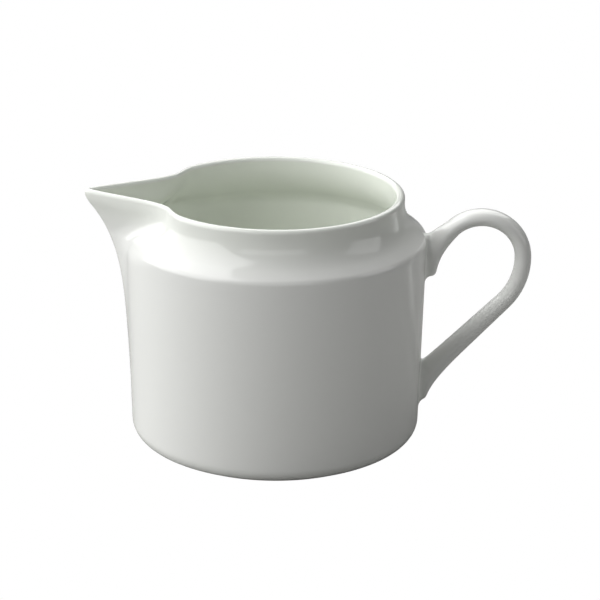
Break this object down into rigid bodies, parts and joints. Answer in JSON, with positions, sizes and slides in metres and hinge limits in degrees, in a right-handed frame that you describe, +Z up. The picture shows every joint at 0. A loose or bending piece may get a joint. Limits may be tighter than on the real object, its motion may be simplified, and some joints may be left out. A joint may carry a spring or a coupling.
{
  "type": "cream jug",
  "caption": "Small white porcelain jug with straight tapered sides, a ridged shoulder, a pointed pouring lip and an ear-shaped strap handle.",
  "frame": {"origin": "on the body's axis, at the plane of the foot ring that the jug stands on", "axes": "+Z up along the body's axis, +X towards the handle, -X towards the spout, +Y to the left of someone looking along +X"},
  "size_m": [0.1184, 0.08, 0.068],
  "materials": {
    "glazed_porcelain": "glossy clear glaze over a cool white body",
    "glazed_slip": "glossy clear glaze, slightly pooled",
    "bisque_porcelain": "unglazed, ground smooth"
  },
  "bodies": {
    "root": {"body": "glazed_porcelain", "spout": "glazed_porcelain", "handle": "glazed_porcelain", "upper_joint_slip": "glazed_slip", "lower_joint_slip": "glazed_slip", "foot_ring": "bisque_porcelain"}
  },
  "joints": []
}
